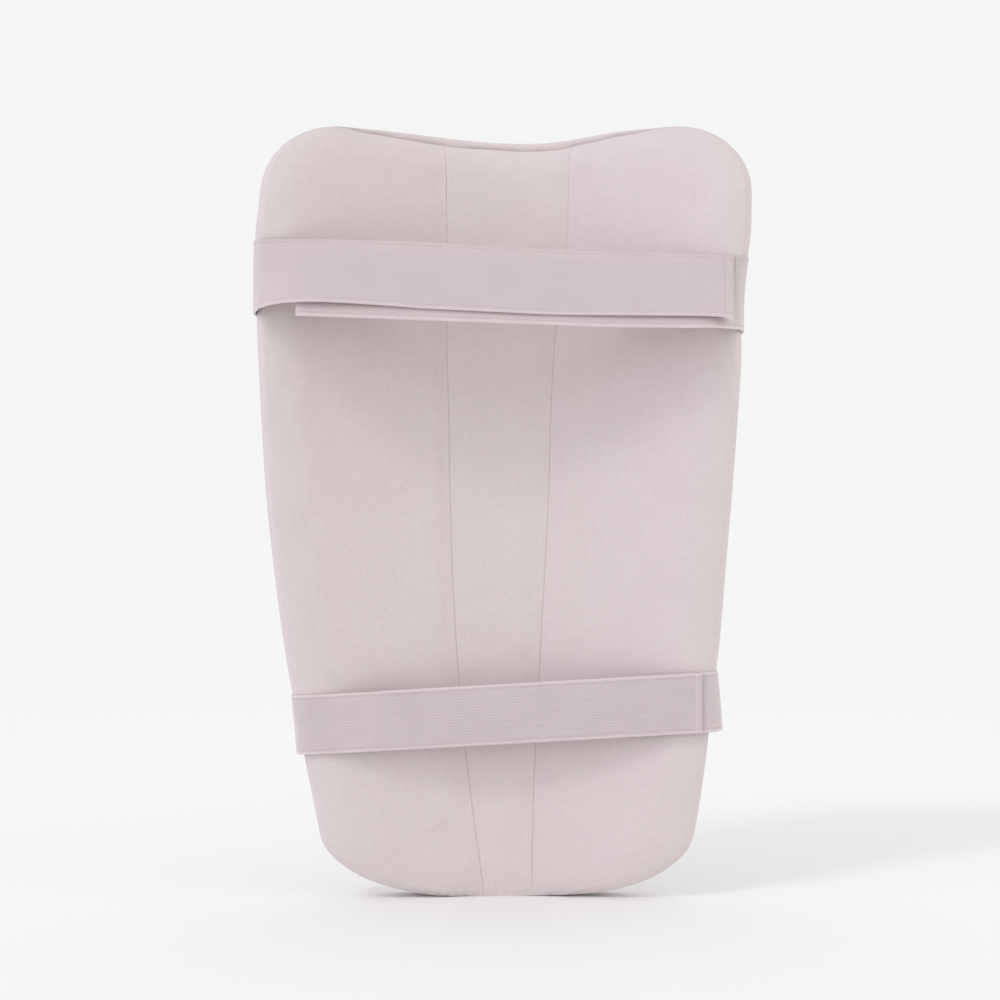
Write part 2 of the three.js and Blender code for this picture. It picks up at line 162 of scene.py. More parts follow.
# Cross-sections from the bottom up: share of the height, then half, axis, seam axis, deep and seam
SECTIONS = np.array([
    (0.00, 0.708, 0.033, 0.034, 0.30, 0.37),
    (0.13, 0.788, 0.027, 0.009, 0.36, 0.485),
    (0.29, 0.868, 0.010, -0.006, 0.47, 0.64),
    (0.49, 0.928, -0.002, -0.002, 0.70, 0.765),
    (0.72, 0.967, 0.001, 0.005, 0.94, 0.865),
    (0.83, 0.984, 0.010, 0.026, 1.00, 0.96),
    (1.00, 0.982, 0.030, 0.034, 0.98, 1.00),
])
SECTION_SCALES = np.array([
    GUARD_WIDTH / 2, GUARD_WIDTH / 2, GUARD_WIDTH / 2, TROUGH_DEPTH, CENTRE_PANEL_WIDTH / 2,
])


def smoothstep(value, start, end):
    share = np.clip((value - start) / (end - start), 0, 1)
    return share * share * (3 - 2 * share)


def lerp(a, b, share):
    return a + (b - a) * share


# The padding's surfaces


def section_at(z):
    """Half width, axis, seam axis, trough depth and half seam width at heights, by the part's curve."""
    times = SECTIONS[:, 0] * GUARD_HEIGHT
    values = SECTIONS[:, 1:] * SECTION_SCALES
    z = np.clip(np.asarray(z, float), 0, GUARD_HEIGHT)
    after = np.clip(np.searchsorted(times, z, side="right"), 1, len(times) - 1)
    before = after - 1
    span = times[after] - times[before]
    first, last = before == 0, after == len(times) - 1
    previous = np.where(first, after, before - 1)
    following = np.where(last, before, np.minimum(after + 1, len(times) - 1))
    to_previous = span / 2 / (times[before] - np.where(first, times[after], times[previous]))
    to_following = span / 2 / (np.where(last, times[before], times[following]) - times[after])
    p = (z - times[before]) / span
    weights = (
        (previous, to_previous * (-(p**3) + 2 * p**2 - p)),
        (before, (1 + to_previous) * p**3 - (1.5 + 2 * to_previous) * p**2 + (to_previous - 0.5) * p + 1),
        (after, -(1 + to_following) * p**3 + (1.5 + to_following) * p**2 + 0.5 * p),
        (following, to_following * (p**3 - p**2)),
    )
    total = sum(values[index] * weight[..., None] for index, weight in weights)
    return tuple(np.moveaxis(total, -1, 0))


def corner_cut(distance, width, height):
    rest = np.clip(1 - distance / height, 0, 1)
    return width * (1 - np.sqrt(1 - rest**2))


def outline_half(z, inset):
    top = corner_cut(GUARD_HEIGHT - inset - z, TOP_CORNER - inset, TOP_CORNER - inset)
    bottom = corner_cut(z, BOTTOM_CORNER_WIDTH - inset, BOTTOM_CORNER_HEIGHT)
    return section_at(z)[0] - inset - top - bottom


def bell(distance, reach):
    return (1 + np.cos(np.pi * np.clip(np.abs(distance) / reach, 0, 1))) / 2


def top_dip(x):
    away = x - TOP_DIP_AT
    return TOP_DIP * bell(away, np.where(away < 0, TOP_DIP_REACH_LEFT, TOP_DIP_REACH_RIGHT))


def panel_lowering(x):
    return top_dip(x) + PANEL_SINK + np.interp(x, *np.array(SEAM_DROP, float).T)


def lowered(x, z, lower):
    """Heights once the top edge's shape is taken off them, and the bottom edge is rounded."""
    lift = BOTTOM_LIFT * np.clip(np.abs(x - BOTTOM_LIFT_AT) / BOTTOM_LIFT_REACH, 0, 1) ** 2
    top = lower(x) * smoothstep(z, GUARD_HEIGHT - DIP_RISE, GUARD_HEIGHT)
    return z - top + lift * (1 - smoothstep(z, 0, FOOT_RISE))


def trough_y(x, z):
    half, axis, _, deep, _ = section_at(z)
    rise = np.hypot((x - axis) / half, TROUGH_ROUNDNESS) - TROUGH_ROUNDNESS
    full = np.hypot(1, TROUGH_ROUNDNESS) - TROUGH_ROUNDNESS
    return np.tan(LEAN) * z - deep * rise / full


def off_trough(x, z, distance):
    """Points off the trough's surface by a distance, level and square to it, away from the leg."""
    slope = trough_y(x + 0.5, z) - trough_y(x - 0.5, z)
    length = np.hypot(slope, 1)
    return np.stack([x - distance * slope / length, trough_y(x, z) + distance / length, z], axis=-1)


def rumple(points, scale, seed):
    """Smooth noise at points, from -1 to 1, with features about scale millimetres across."""
    flat = points.reshape(-1, 3) / scale + seed
    return np.array([noise.noise(Vector(p)) for p in flat]).reshape(points.shape[:-1])


def worn(points):
    """Points of the padding once the straps have squeezed its sides and the foam lies unevenly."""
    x, z = points[..., 0], points[..., 2]
    inwards = np.zeros_like(x)
    for side, height, reach, depth in SQUEEZES:
        inwards += (x * side > 0) * depth * bell(z - height, reach)
    moved = points.copy()
    moved[..., 0] -= np.sign(x) * inwards * smoothstep(np.abs(x), SQUEEZE_FROM, SQUEEZE_TO)
    settled = smoothstep(z, 0, FOOT_RISE)
    for axis, seed in enumerate(WAVINESS_SEEDS):
        moved[..., axis] += WAVINESS * rumple(points, WAVINESS_SCALE, seed) * settled
    return moved


def rounded_rise(distance, reach):
    return np.sqrt(1 - np.clip(1 - distance / reach, 0, 1) ** 2)


def arc_steps(count):
    """Shares from 0 to 1 that space points evenly round a rounded edge."""
    return 1 - np.cos(np.linspace(0, np.pi / 2, count + 1))


def spaced(start, start_reach, start_count, end, end_reach, end_count, step):
    """Values from start to end, closer together near ends that are rounded."""
    head = start + arc_steps(start_count) * start_reach
    tail = end - arc_steps(end_count)[::-1] * end_reach
    count = max(2, round((tail[0] - head[-1]) / step))
    return np.concatenate([head, np.linspace(head[-1], tail[0], count + 1)[1:-1], tail])


# How finely the padding is divided: steps round an edge, at a seam and along the top, and their size
EDGE_COUNT = 14
TOP_EDGE_COUNT = 16
SEAM_COUNT = 6
TOP_COUNT = 60
ROW_STEP = 2.4
COLUMN_STEP = 2.4

# The swell's grid takes every so many rows and columns, and is simulated for so many frames
SWELL_STRIDE = 2
SWELL_FRAMES = 20


def row_heights(top):
    return spaced(0, BOTTOM_CORNER_HEIGHT, EDGE_COUNT, top, TOP_CORNER, TOP_EDGE_COUNT, ROW_STEP)


def padding_outline(inset, lower):
    heights = row_heights(GUARD_HEIGHT - inset)
    axis = section_at(heights)[1]
    sides = []
    for sign in (-1, 1):
        x = axis + sign * outline_half(heights, inset)
        sides.append(np.stack([x, lowered(x, heights, lower)], axis=-1))
    x = np.linspace(sides[0][-1, 0], sides[1][-1, 0], TOP_COUNT)[1:-1]
    top = np.stack([x, lowered(x, heights[-1], lower)], axis=-1)
    return np.concatenate([sides[0], top, sides[1][::-1]])


def distance_to_outline(x, z, outline):
    """Shortest distance of points in the XZ plane to a closed outline."""
    points = np.stack([np.ravel(x), np.ravel(z)], axis=-1)
    starts, along = outline, np.roll(outline, -1, axis=0) - outline
    lengths = np.maximum((along**2).sum(-1), 1e-12)
    best = np.full(len(points), np.inf)
    for start, side, length in zip(starts, along, lengths):
        share = np.clip((points - start) @ side / length, 0, 1)
        best = np.minimum(best, np.hypot(*(points - start - share[:, None] * side).T))
    return best.reshape(np.shape(x))


SHELL_OUTLINE = padding_outline(0, top_dip)
PANEL_OUTLINE = padding_outline(PANEL_INSET, panel_lowering)


def rim_thickness(z, foot, edge):
    return lerp(foot, edge, smoothstep(z, 0, FOOT_RISE))


def shell_offset(x, z):
    rim = rim_thickness(z, SHELL_FOOT, SHELL_EDGE)
    inside = distance_to_outline(x, z, SHELL_OUTLINE)
    return GAP / 2 + rim + (SHELL_THICKNESS - rim) * rounded_rise(inside, SHELL_ROUNDING)


def panel_thickness(x, z):
    rim = rim_thickness(z, PANEL_FOOT, PANEL_EDGE)
    inside = distance_to_outline(x, z, PANEL_OUTLINE)
    _, _, seam_axis, _, seam = section_at(z)
    from_seam = np.abs(np.abs(x - seam_axis) - seam)
    full = PANEL_THICKNESS - SEAM_GROOVE * (1 - rounded_rise(from_seam, SEAM_ROUNDING))
    pucker = PUCKER * np.sin(2 * np.pi * x / PUCKER_STEP) * bell(x, PUCKER_REACH) * bell(z, PUCKER_HEIGHT)
    slope = np.sin(np.pi / 2 * np.clip(inside / PANEL_SLOPE_REACH, 0, 1))
    rise = lerp(rounded_rise(inside, PANEL_ROUNDING), slope, PANEL_SLOPE_SHARE)
    return rim + np.maximum(0, full - rim) * rise + pucker


def leg_offset(x, z):
    """Offset of the leg side of a panel, which lies before the trough's surface."""
    return -(GAP / 2 + panel_thickness(x, z))


def panel_back_offset(x, z):
    return np.full_like(x, -GAP / 2)


def shell_front_offset(x, z):
    return np.full_like(x, GAP / 2)


def side_columns(sign, z, inset):
    """The x of each column of a side panel at heights z, from left to right."""
    _, axis, seam_axis, _, seam = section_at(z)
    start = seam_axis + sign * (seam + SEAM_GAP / 2)
    end = axis + sign * outline_half(z, inset)
    width = (GUARD_WIDTH - CENTRE_PANEL_WIDTH) / 2
    seam_reach, edge_reach = SEAM_ROUNDING / width, PANEL_ROUNDING / width
    shares = spaced(0, seam_reach, SEAM_COUNT, 1, edge_reach, EDGE_COUNT, COLUMN_STEP / width)
    grid = start[:, None] + (end - start)[:, None] * shares
    return grid if sign > 0 else grid[:, ::-1]


def centre_columns(z):
    _, _, seam_axis, _, seam = section_at(z)
    reach = SEAM_ROUNDING / CENTRE_PANEL_WIDTH
    shares = spaced(0, reach, SEAM_COUNT, 1, reach, SEAM_COUNT, COLUMN_STEP / CENTRE_PANEL_WIDTH)
    return seam_axis[:, None] + (seam - SEAM_GAP / 2)[:, None] * (2 * shares - 1)


def shell_columns(z):
    _, axis, _, _, _ = section_at(z)
    half = outline_half(z, 0)
    reach = SHELL_ROUNDING / GUARD_WIDTH
    shares = spaced(0, reach, EDGE_COUNT, 1, reach, EDGE_COUNT, COLUMN_STEP / GUARD_WIDTH)
    return axis[:, None] + half[:, None] * (2 * shares - 1)


# Meshes and stitches


def run_lengths(points, axis):
    """Distance along an axis of a grid of points, from its middle."""
    steps = np.linalg.norm(np.diff(points, axis=axis), axis=-1)
    lengths = np.cumsum(steps, axis=axis)
    lengths = np.concatenate([np.zeros_like(np.take(lengths, [0], axis)), lengths], axis=axis)
    middle = lengths.shape[axis] // 2
    return lengths - np.take(lengths, [middle], axis)


def mesh_object(name, points, faces, uv, material):
    """A mesh in the row frame from points in millimetres in the part's own frame."""
    mesh = bpy.data.meshes.new(name)
    mesh.from_pydata(((points + SHIFT) * MM).tolist(), [], faces)
    mesh.polygons.foreach_set("use_smooth", [True] * len(mesh.polygons))
    corners = np.empty(len(mesh.loops), np.int32)
    mesh.loops.foreach_get("vertex_index", corners)
    layer = mesh.uv_layers.new(name="weave")
    layer.data.foreach_set("uv", (uv[corners] * MM).astype(np.float32).ravel())
    mesh.materials.append(material)
    mesh.update()
    piece = bpy.data.objects.new(name, mesh)
    bpy.context.scene.collection.objects.link(piece)
    return piece


def slab_faces(rows, columns):
    """Quads of a closed body between two grids of points: near face, far face and rim."""
    ids = np.arange(rows * columns).reshape(rows, columns)
    count = rows * columns
    a, b, c, d = ids[:-1, :-1], ids[:-1, 1:], ids[1:, 1:], ids[1:, :-1]
    near = np.stack([a, b, c, d], axis=-1).reshape(-1, 4)
    far = np.stack([a, d, c, b], axis=-1).reshape(-1, 4) + count
    rim = np.concatenate([ids[0, :-1], ids[:-1, -1], ids[-1, :0:-1], ids[:0:-1, 0]])
    following = np.roll(rim, -1)
    sides = np.stack([rim, rim + count, following + count, following], axis=-1)
    return np.concatenate([near, far, sides]).tolist()


def slab(name, near, far, material):
    rows, columns = near.shape[:2]
    points = np.concatenate([near.reshape(-1, 3), far.reshape(-1, 3)])
    uv = np.concatenate([
        np.stack([run_lengths(face, 1), run_lengths(face, 0)], axis=-1).reshape(-1, 2)
        for face in (near, far)
    ])
    return mesh_object(name, points, slab_faces(rows, columns), uv, material)


def swelling(near, cap):
    """How far a panel's cloth moves, point by point, when it swells off its foam between its sewn edges."""
    rows, columns = near.shape[:2]
    kept_rows = np.unique(np.append(np.arange(0, rows, SWELL_STRIDE), rows - 1))
    kept_columns = np.unique(np.append(np.arange(0, columns, SWELL_STRIDE), columns - 1))
    coarse = near[kept_rows][:, kept_columns]
    shape = coarse.shape[:2]
    ids = np.arange(shape[0] * shape[1]).reshape(shape)
    quads = np.stack([ids[:-1, :-1], ids[:-1, 1:], ids[1:, 1:], ids[1:, :-1]], axis=-1).reshape(-1, 4)
    mesh = bpy.data.meshes.new("swelling")
    mesh.from_pydata((coarse.reshape(-1, 3) * MM).tolist(), [], quads.tolist())
    cloth = bpy.data.objects.new("swelling", mesh)
    bpy.context.scene.collection.objects.link(cloth)
    sewn = cloth.vertex_groups.new(name="sewn")
    border = np.unique(np.concatenate([ids[0], ids[-1], ids[:, 0], ids[:, -1]]))
    sewn.add(border.tolist(), 1.0, "REPLACE")
    settings = cloth.modifiers.new("cloth", "CLOTH").settings
    settings.quality = 6
    settings.mass = 0.2
    settings.tension_stiffness = settings.compression_stiffness = 12
    settings.bending_stiffness = 0.3
    settings.use_pressure = True
    settings.uniform_pressure_force = 4
    settings.shrink_min = -0.012
    settings.effector_weights.gravity = 0
    settings.vertex_group_mass = "sewn"
    for frame_number in range(1, SWELL_FRAMES + 1):
        bpy.context.scene.frame_set(frame_number)
    swollen = cloth.evaluated_get(bpy.context.evaluated_depsgraph_get()).to_mesh()
    points = np.empty(len(swollen.vertices) * 3)
    swollen.vertices.foreach_get("co", points)
    moved = points.reshape(*shape, 3) / MM - coarse
    bpy.data.objects.remove(cloth)
    bpy.data.meshes.remove(mesh)
    bpy.context.scene.frame_set(1)
    square = np.cross(np.gradient(coarse, axis=1), np.gradient(coarse, axis=0))
    square /= np.linalg.norm(square, axis=-1, keepdims=True)
    risen = cap * np.tanh(np.maximum((moved * square).sum(-1), 0) / cap)
    wide = np.stack([np.interp(np.arange(columns), kept_columns, row) for row in risen])
    risen = np.stack([np.interp(np.arange(rows), kept_rows, column) for column in wide.T], axis=1)
    square = np.cross(np.gradient(near, axis=1), np.gradient(near, axis=0))
    square /= np.maximum(np.linalg.norm(square, axis=-1, keepdims=True), 1e-9)
    for axis in (0, 1):
        run = run_lengths(near, axis)
        ends = np.take(run, [0], axis), np.take(run, [-1], axis)
        risen = risen * smoothstep(np.minimum(run - ends[0], ends[1] - run), 0, SWELL_FADE)
    return square * risen[..., None]


# Rings of one stitch: place along it and thickness, as shares, and how many sides the thread has
STITCH_RINGS = ((-1.0, 0.2), (-0.8, 0.8), (0.0, 1.0), (0.8, 0.8), (1.0, 0.2))
STITCH_SIDES = 6


def stitches(name, centres, along, outward, length, material):
    """Thread stitches in one mesh: slim bars that dip into the cloth at their ends."""
    along = along / np.linalg.norm(along, axis=-1, keepdims=True)
    outward = outward / np.linalg.norm(outward, axis=-1, keepdims=True)
    across = np.cross(along, outward)
    turns = np.linspace(0, 2 * np.pi, STITCH_SIDES, endpoint=False)
    rings = []
    for place, share in STITCH_RINGS:
        middle = centres + along * place * length / 2 - outward * THREAD_RADIUS * place**2
        ring = np.cos(turns)[:, None] * across[:, None] + np.sin(turns)[:, None] * outward[:, None]
        rings.append(middle[:, None] + THREAD_RADIUS * share * ring)
    points = np.stack(rings, axis=1).reshape(-1, 3)
    one = len(STITCH_RINGS) * STITCH_SIDES
    ids = np.arange(one).reshape(len(STITCH_RINGS), STITCH_SIDES)
    turned = np.roll(ids, -1, axis=1)
    bars = np.stack([ids[:-1], ids[1:], turned[1:], turned[:-1]], axis=-1).reshape(-1, 4).tolist()
    caps = [ids[0].tolist(), ids[-1][::-1].tolist()]
    faces = [[k + index * one for k in face] for index in range(len(centres)) for face in bars + caps]
    uv = np.tile(np.stack([ids.ravel() * 0.1, ids.ravel() * 0.05], axis=-1), (len(centres), 1))
    return mesh_object(name, points, faces, uv, material)


# Straps


def convex_outline(points):
    """Corners of the smallest convex outline round plan points, anticlockwise from above."""
    ordered = sorted(map(tuple, points))

    def chain(run):
        kept = []
        for p in run:
            while len(kept) > 1 and (
                (kept[-1][0] - kept[-2][0]) * (p[1] - kept[-2][1])
                - (kept[-1][1] - kept[-2][1]) * (p[0] - kept[-2][0])
            ) <= 0:
                kept.pop()
            kept.append(p)
        return kept[:-1]

    return np.array(chain(ordered) + chain(ordered[::-1]))


def edge_points(strap, down):
    """Plan points of both edges of the padding, on one level of a strap."""
    found = []
    for sign, top in ((-1, strap["top_left"]), (1, strap["top_right"])):
        z = np.array([top - down * strap["width"]])
        for inset, offsets in ((0, (shell_front_offset, shell_offset)), (PANEL_INSET, (leg_offset,))):
            x = side_columns(sign, z, inset)[0]
            level = np.full_like(x, z[0])
            found += [worn(off_trough(x, level, offset(x, level)))[:, :2] for offset in offsets]
    return np.concatenate(found)


def stretch_of(outline, start_x, start_leg, end_x, end_leg):
    """The stretch of a taut line round the padding between two x, each on the outer or the leg's side."""
    following = np.roll(outline, -1, axis=0)

    def meets(x, leg):
        if leg:
            hit = (outline[:, 0] < x) & (following[:, 0] >= x)
        else:
            hit = (outline[:, 0] >= x) & (following[:, 0] < x)
        k = int(np.argmax(hit))
        share = (x - outline[k, 0]) / (following[k, 0] - outline[k, 0])
        return k, lerp(outline[k], following[k], share)

    first, start = meets(start_x, start_leg)
    last, end = meets(end_x, end_leg)
    corners, k = [start], first
    while k != last:
        k = (k + 1) % len(outline)
        corners.append(outline[k])
    return np.array(corners + [end])


# Steps of a strap's path and how many of them its corners are softened over
PATH_STEP = 0.5
PATH_SOFTNESS = 3


def bell_weights(softness):
    """Weights that soften a run of values over a few steps."""
    weights = np.exp(-0.5 * (np.arange(-3 * softness, 3 * softness + 1) / softness) ** 2)
    return weights / weights.sum()


def smooth_path(corners, off):
    """The path a distance outside some plan corners, rounded, with its outward directions."""
    lengths = np.concatenate([[0], np.cumsum(np.linalg.norm(np.diff(corners, axis=0), axis=1))])
    at = np.arange(0, lengths[-1], PATH_STEP)
    path = np.stack([np.interp(at, lengths, corners[:, i]) for i in (0, 1)], axis=-1)
    weights = bell_weights(PATH_SOFTNESS)
    margin = 3 * PATH_SOFTNESS

    def soft(run):
        padded = np.pad(run, ((margin, margin), (0, 0)), "edge")
        return np.stack([np.convolve(padded[:, i], weights, "valid") for i in (0, 1)], axis=-1)

    along = np.gradient(path, axis=0)
    along = soft(along / np.linalg.norm(along, axis=1, keepdims=True))
    along /= np.linalg.norm(along, axis=1, keepdims=True)
    outward = np.stack([along[:, 1], -along[:, 0]], axis=-1)
    path = soft(path + outward * off)
    path[0], path[-1] = corners[0] + outward[0] * off, corners[-1] + outward[-1] * off
    return path, outward


# How finely a strap is divided: levels of its seat and steps across it and along it
LEVELS = np.linspace(0, 1, 7)
ACROSS = 96
ALONG_STEP = 2.0


def strap_geometry(strap):
    """Both halves of a strap: its plan path, its outward directions and where its rows lie."""
    levels = [edge_points(strap, down) for down in LEVELS]
    everything = np.concatenate(levels)
    outline = convex_outline(everything)
    leftmost, rightmost = everything[:, 0].min(), everything[:, 0].max()
    seat = GAP + STRAP_THICKNESS / 2
    rear_end = leftmost + strap["rear_end_in"]
    hem_end = rightmost - strap["hem_in"]

    def by_x(table, x):
        """A table's values along a path, with its corners softened."""
        if strap is LOWER_STRAP:
            return np.zeros_like(x)
        values = np.pad(np.interp(x, *np.array(table, float).T), 3 * LEAN_SOFTNESS, "edge")
        return np.convolve(values, bell_weights(LEAN_SOFTNESS), "valid")

    def half(corners, is_front):
        """One half: where its path runs, and how it leans, lifts and stands off along it."""
        path, outward = smooth_path(corners, seat)
        x = path[:, 0]
        steps = np.linalg.norm(np.diff(path, axis=0), axis=1)
        run = np.concatenate([[0], np.cumsum(steps)])
        from_stitches = run if is_front else run[-1] - run
        across = np.clip((x - leftmost) / (rightmost - leftmost), 0, 1)
        leg = smoothstep(-outward[:, 1], -0.2, 0.2)
        free = lerp(strap["follow_left"], strap["follow_right"], across)
        follow = lerp(1, free, smoothstep(from_stitches, 0, STITCH_REACH))
        reaches = [(level @ outward.T).max(axis=0) for level in levels]
        short = np.max(reaches, axis=0)[None] - np.stack(reaches)
        slack = follow * short
        level_top = lerp(strap["top_left"], strap["top_right"], across)
        stitched_top = strap["top_left"] if is_front else strap["top_right"]
        top = lerp(stitched_top, level_top, leg)
        if is_front:
            tilt = np.radians(leg * by_x(FRONT_LEAN, x))
            off = leg * smoothstep(x, leftmost, rear_end) * (STRAP_THICKNESS + GAP)
            top = top + leg * by_x(FRONT_LIFT, x)
        else:
            tilt = np.radians(leg * by_x(REAR_LEAN, x))
            off = leg * by_x(REAR_OUT, x)
            top = top - strap["width"] * (1 - np.cos(tilt)) - leg * by_x(REAR_DROP, x)
        return {
            "path": path, "outward": outward, "run": run, "top": top, "tilt": tilt, "off": off,
            "slack": slack, "width": strap["width"], "rib_height": strap["rib_height"],
            "hem_from": run[-1] - HEM_LENGTH if is_front else None,
            "box_from": BOX_MARGIN if is_front else run[-1] - BOX_MARGIN - BOX_LENGTH,
            "slant": HEM_SLANT if is_front and strap is UPPER_STRAP else 0.0,
        }

    front = half(stretch_of(outline, leftmost + strap["stitched_in"], False, hem_end, True), True)
    rear = half(stretch_of(outline, rear_end, True, rightmost - strap["stitched_in"], False), False)
    return front, rear


def on_strap(band, run, down, proud):
    """Points of a strap at distances along it, shares down its width and heights off its middle."""
    run, down, proud = np.broadcast_arrays(run, down, proud)
    end = band["run"][-1]
    run = run - band["slant"] * down * smoothstep(run, end - SLANT_REACH, end)

    def get(values):
        return np.interp(run, band["run"], values)

    place = np.stack([get(band["path"][:, i]) for i in (0, 1)], axis=-1)
    outward = np.stack([get(band["outward"][:, i]) for i in (0, 1)], axis=-1)
    slacks = np.stack([get(row) for row in band["slack"]], axis=-1)
    level = down * (len(LEVELS) - 1)
    low = np.minimum(level.astype(int), len(LEVELS) - 2)
    above = np.take_along_axis(slacks, low[..., None], -1)[..., 0]
    below = np.take_along_axis(slacks, low[..., None] + 1, -1)[..., 0]
    slack = lerp(above, below, level - low)
    tilt, width = get(band["tilt"]), band["width"]
    outwards = get(band["off"]) + proud * np.cos(tilt) - slack
    height = get(band["top"]) - down * width * np.cos(tilt) + proud * np.sin(tilt)
    plan = place + outward * outwards[..., None]
    plan[..., 1] -= down * width * np.sin(tilt)
    return np.concatenate([plan, height[..., None]], axis=-1)


# Elastic: the step of its ribs, and the width of a selvedge, its ridge and the groove beside it
RIB_STEP = 1.45
SELVEDGE = 2.0
RIDGE_HEIGHT = 0.12
RIDGE_WIDTH = 0.6
GROOVE_DEPTH = 0.1
GROOVE_WIDTH = 0.35

# How an elastic's edges and ends are rounded, its thickness left at an end and its relief left at the back
EDGE_ROUNDING = 0.6
EDGE_STEPS = 5
EDGE_SHARE = 0.02
END_ROUNDING = 0.8
END_THICKNESS = 0.3
BACK_RELIEF = 0.6

# Where a hem's fold begins: the rows added there, the rows taken out near them, and the fold's rise
HEM_ROWS = (-0.35, 0, 0.25, 0.5)
HEM_CLEAR = 0.8
HEM_RISE = (-0.4, 0.3)

# The box of stitches that holds each strap to the cover
BOX_MARGIN = 4.0
BOX_LENGTH = 26.0


def strap_piece(name, band, material):
    """A ribbed elastic band with a selvedge at each edge and, where it has one, a folded hem."""
    length = band["run"][-1]
    runs = np.linspace(0, length, round(length / ALONG_STEP) + 1)
    hem = band["hem_from"]
    if hem is not None:
        clear = runs[np.abs(runs - hem) > HEM_CLEAR]
        runs = np.sort(np.concatenate([clear, [hem + row for row in HEM_ROWS]]))
    edge = arc_steps(EDGE_STEPS) * EDGE_SHARE
    middle = np.linspace(EDGE_SHARE, 1 - EDGE_SHARE, ACROSS + 1)[1:-1]
    down = np.concatenate([edge, middle, 1 - edge[::-1]])
    width = band["width"]
    from_edge = np.minimum(down, 1 - down) * width
    ribs = band["rib_height"] * np.cos(2 * np.pi * down * width / RIB_STEP)
    ribs = ribs * smoothstep(from_edge, SELVEDGE, SELVEDGE + EDGE_ROUNDING)
    ridge = RIDGE_HEIGHT * np.exp(-(((from_edge - SELVEDGE / 2) / RIDGE_WIDTH) ** 2))
    groove = GROOVE_DEPTH * np.exp(-(((from_edge - SELVEDGE) / GROOVE_WIDTH) ** 2))
    selvedge = ridge - groove
    half = STRAP_THICKNESS / 2 * rounded_rise(from_edge, EDGE_ROUNDING)
    fold = np.zeros_like(runs)
    if hem is not None:
        fold = HEM_FOLD * smoothstep(runs, hem + HEM_RISE[0], hem + HEM_RISE[1])
    end = np.minimum(runs, length - runs)
    ends = rounded_rise(end, END_ROUNDING)[None] * (1 - END_THICKNESS) + END_THICKNESS
    folded = fold[None] * rounded_rise(from_edge, END_ROUNDING)[:, None] * ends
    outer = (half + ribs + selvedge)[:, None] * ends + folded
    inner = -(half + BACK_RELIEF * (ribs + selvedge))[:, None] * ends
    near = on_strap(band, runs[None], down[::-1, None], outer[::-1])
    far = on_strap(band, runs[None], down[::-1, None], inner[::-1])
    rows, columns = near.shape[:2]
    points = np.concatenate([near.reshape(-1, 3), far.reshape(-1, 3)])
    flat = np.stack(np.broadcast_arrays(runs[None], (1 - down[::-1, None]) * width), axis=-1)
    flat = flat.reshape(-1, 2)
    return mesh_object(name, points, slab_faces(rows, columns), np.concatenate([flat, flat]), material)


# Stitches: their spacing and size, how far rows lie inside a strap's edges, and where the hem's row lies
STITCH_PITCH = 2.7
STITCH_LENGTH = 2.1
THREAD_RADIUS = 0.2
THREAD_PROUD = STRAP_THICKNESS / 2 + THREAD_RADIUS / 2
STITCH_PROBE = 0.5
BOX_INSET = 3.0
HEM_ROW_INSET = 1.0
HEM_ROW_AT = 1.2


def strap_line(band, start, end):
    """Stitches along a straight line on a strap, between two (distance along it, distance down it)."""
    start, end = np.array(start, float), np.array(end, float)
    count = max(2, int(np.linalg.norm(end - start) / STITCH_PITCH))
    at = start + (end - start) * ((np.arange(count) + 0.5) / count)[:, None]
    width = band["width"]

    def place(along, down):
        return on_strap(band, at[:, 0] + along, (at[:, 1] + down) / width, THREAD_PROUD)

    along_strap = place(STITCH_PROBE, 0) - place(-STITCH_PROBE, 0)
    down_strap = place(0, STITCH_PROBE) - place(0, -STITCH_PROBE)
    direction = (end - start) / np.linalg.norm(end - start)
    along_row = along_strap * direction[0] + down_strap * direction[1]
    return place(0, 0), along_row, np.cross(along_strap, down_strap)


def strap_stitches(name, band, material):
    """The box of stitches that holds a strap to the cover, and the row across its hem."""
    near, far = band["box_from"], band["box_from"] + BOX_LENGTH
    high, low = BOX_INSET, band["width"] - BOX_INSET
    corners = [(near, high), (far, high), (far, low), (near, low)]
    lines = [*zip(corners, corners[1:] + corners[:1]), (corners[0], corners[2]), (corners[1], corners[3])]
    if band["hem_from"] is not None:
        row = band["hem_from"] + HEM_ROW_AT
        lines.append(((row, HEM_ROW_INSET), (row, band["width"] - HEM_ROW_INSET)))
    rows = [strap_line(band, *line) for line in lines]
    if band["hem_from"] is not None:
        centre, along, outward = rows[-1]
        lift = outward / np.linalg.norm(outward, axis=-1, keepdims=True) * HEM_FOLD
        rows[-1] = (centre + lift, along, outward)
    parts = [np.concatenate(part) for part in zip(*rows)]
    return stitches(name, *parts, STITCH_LENGTH, material)


# The cover's row of stitches, which are longer and further apart than a strap's
COVER_STITCH_INSET = 5.0
COVER_STITCH_PITCH = 3.2
COVER_STITCH_LENGTH = 2.5
COVER_STITCH_PROBE = 0.6


